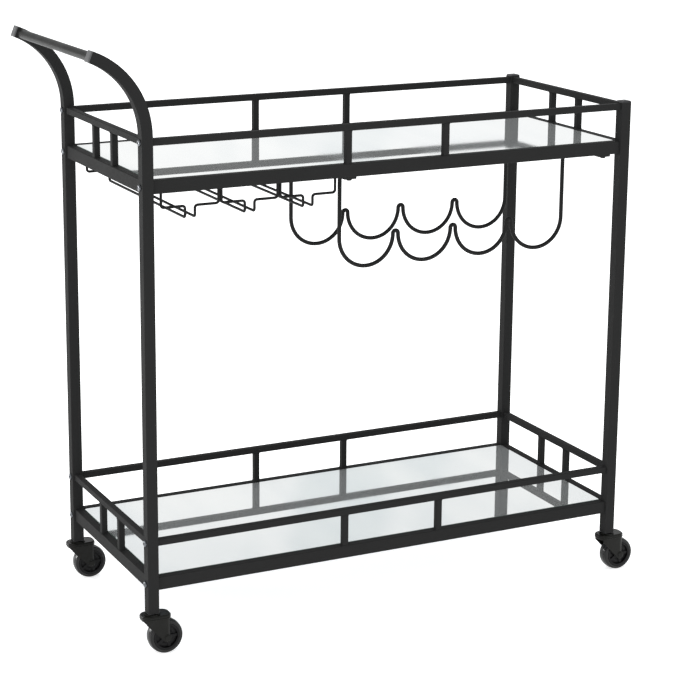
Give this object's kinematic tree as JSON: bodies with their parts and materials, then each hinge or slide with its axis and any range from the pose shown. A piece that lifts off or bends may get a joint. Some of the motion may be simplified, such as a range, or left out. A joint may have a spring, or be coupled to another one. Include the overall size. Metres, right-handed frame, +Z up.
{
  "type": "bar cart",
  "caption": "Two-shelf bar cart with mirrored shelves, guard rails, stemware rack, wine bottle rack and swivel casters.",
  "frame": {"origin": "middle of the footprint at floor level", "axes": "+X from the push handle end to the plain end, +Y from front to back, +Z up"},
  "size_m": [0.8672, 0.3352, 0.8398],
  "materials": {
    "black_steel": "satin black powder coat",
    "black_wire": "satin black powder coat on wire",
    "mirror_glass": "polished",
    "black_plastic": "satin moulded",
    "bright_zinc": "bright zinc",
    "black_tyre": "smooth",
    "caster_steel": "gloss black"
  },
  "bodies": {
    "cart": {"leg_front_left": "black_steel", "leg_front_right": "black_steel", "leg_back_left": "black_steel", "leg_back_right": "black_steel", "push_bar": "black_steel", "handle_end_plugs": "black_plastic", "leg_top_caps": "black_plastic", "leg_stem_sockets": "black_plastic", "lower_front_shelf_rail": "black_steel", "lower_front_guard_rail": "black_steel", "lower_back_shelf_rail": "black_steel", "lower_back_guard_rail": "black_steel", "lower_left_shelf_rail": "black_steel", "lower_left_guard_rail": "black_steel", "lower_right_shelf_rail": "black_steel", "lower_right_guard_rail": "black_steel", "lower_guard_uprights": "black_steel", "lower_rail_inserts": "black_plastic", "lower_frame_bolts": "bright_zinc", "lower_mirror": "mirror_glass", "lower_mirror_rests": "black_steel", "upper_front_shelf_rail": "black_steel", "upper_front_guard_rail": "black_steel", "upper_back_shelf_rail": "black_steel", "upper_back_guard_rail": "black_steel", "upper_left_shelf_rail": "black_steel", "upper_left_guard_rail": "black_steel", "upper_right_shelf_rail": "black_steel", "upper_right_guard_rail": "black_steel", "upper_guard_uprights": "black_steel", "upper_rail_inserts": "black_plastic", "upper_frame_bolts": "bright_zinc", "upper_mirror": "mirror_glass", "upper_mirror_rests": "black_steel", "stemware_channel_1": "black_wire", "stemware_channel_2": "black_wire", "stemware_channel_3": "black_wire", "wine_wave_front": "black_wire", "wine_wave_back": "black_wire", "wine_bar_left": "black_steel", "wine_bar_right": "black_steel", "wine_bar_screws": "black_steel", "caster_stems": "caster_steel"},
    "caster_front_left": {"caster_fork_front_left": "caster_steel", "caster_axle_front_left": "caster_steel"},
    "wheel_front_left": {"caster_hub_front_left": "black_plastic", "caster_tyre_front_left": "black_tyre"},
    "caster_front_right": {"caster_fork_front_right": "caster_steel", "caster_axle_front_right": "caster_steel"},
    "wheel_front_right": {"caster_hub_front_right": "black_plastic", "caster_tyre_front_right": "black_tyre"},
    "caster_back_left": {"caster_fork_back_left": "caster_steel", "caster_axle_back_left": "caster_steel"},
    "wheel_back_left": {"caster_hub_back_left": "black_plastic", "caster_tyre_back_left": "black_tyre"},
    "caster_back_right": {"caster_fork_back_right": "caster_steel", "caster_axle_back_right": "caster_steel"},
    "wheel_back_right": {"caster_hub_back_right": "black_plastic", "caster_tyre_back_right": "black_tyre"}
  },
  "joints": [
    {"name": "swivel_front_left", "type": "hinge", "parent": "cart", "child": "caster_front_left", "pos_m": [-0.35341, -0.153, 0.057], "axis": [0, 0, 1], "continuous": true},
    {"name": "roll_front_left", "type": "hinge", "parent": "caster_front_left", "child": "wheel_front_left", "pos_m": [-0.33541, -0.153, 0.025], "axis": [0, 1, 0], "continuous": true},
    {"name": "swivel_front_right", "type": "hinge", "parent": "cart", "child": "caster_front_right", "pos_m": [0.39059, -0.153, 0.057], "axis": [0, 0, 1], "continuous": true},
    {"name": "roll_front_right", "type": "hinge", "parent": "caster_front_right", "child": "wheel_front_right", "pos_m": [0.40859, -0.153, 0.025], "axis": [0, 1, 0], "continuous": true},
    {"name": "swivel_back_left", "type": "hinge", "parent": "cart", "child": "caster_back_left", "pos_m": [-0.35341, 0.153, 0.057], "axis": [0, 0, 1], "continuous": true},
    {"name": "roll_back_left", "type": "hinge", "parent": "caster_back_left", "child": "wheel_back_left", "pos_m": [-0.33541, 0.153, 0.025], "axis": [0, 1, 0], "continuous": true},
    {"name": "swivel_back_right", "type": "hinge", "parent": "cart", "child": "caster_back_right", "pos_m": [0.39059, 0.153, 0.057], "axis": [0, 0, 1], "continuous": true},
    {"name": "roll_back_right", "type": "hinge", "parent": "caster_back_right", "child": "wheel_back_right", "pos_m": [0.40859, 0.153, 0.025], "axis": [0, 1, 0], "continuous": true}
  ]
}
